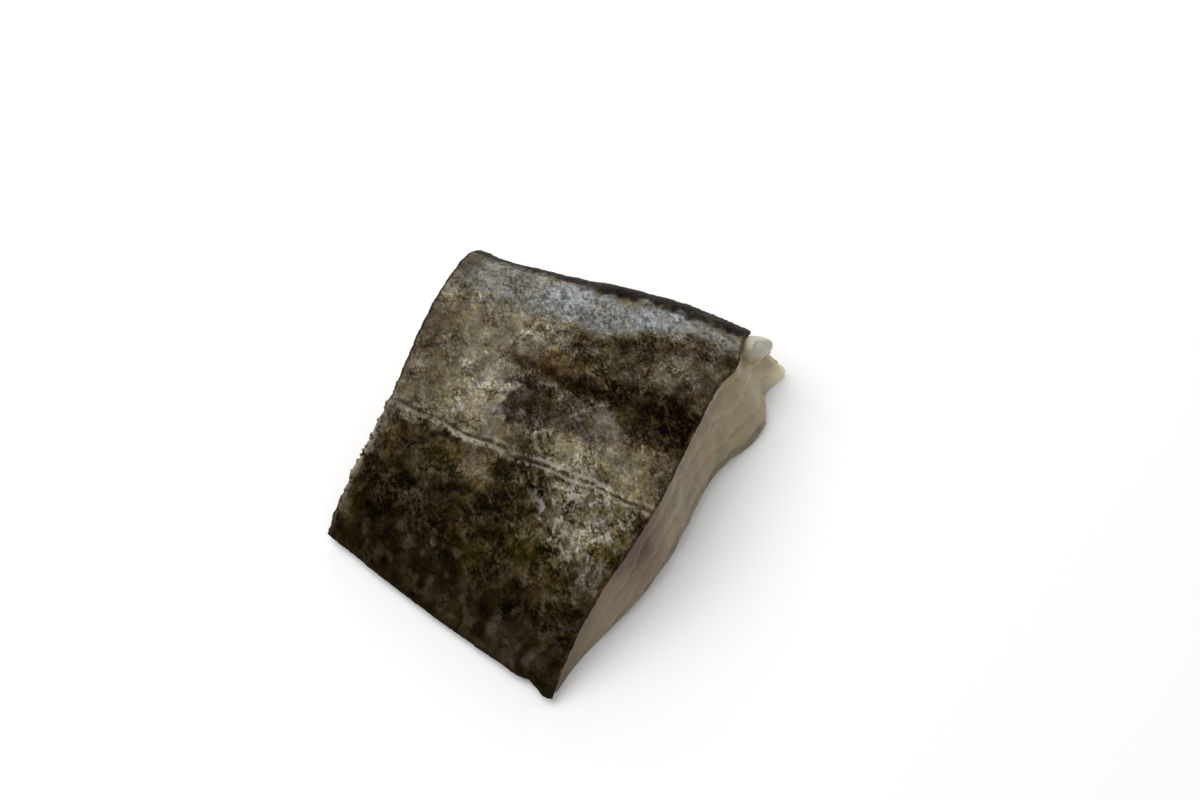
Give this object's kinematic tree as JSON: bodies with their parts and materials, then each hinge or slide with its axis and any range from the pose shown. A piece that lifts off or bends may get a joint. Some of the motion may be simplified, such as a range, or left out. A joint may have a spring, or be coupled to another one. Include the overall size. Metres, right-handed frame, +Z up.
{
  "type": "skin-on cod fillet portion",
  "caption": "Raw white fish fillet portion with dark mottled skin on top, cut square at both ends and thinning to one edge. It lies on its flesh side.",
  "frame": {"origin": "under the middle of the portion's box, on the surface that it lies on", "axes": "+X along the fish, from one knife cut to the other; +Y across the fillet, from the thin edge to the thick edge; +Z up, out of the skin"},
  "size_m": [0.091, 0.1144, 0.0282],
  "materials": {
    "flesh": "wet, translucent cream-white muscle in soft flakes",
    "skin": "wet, dark brown skin with olive mottling, fine scales and a pale line along the side"
  },
  "bodies": {
    "root": {"flesh": "flesh", "skin": "skin"}
  },
  "joints": []
}
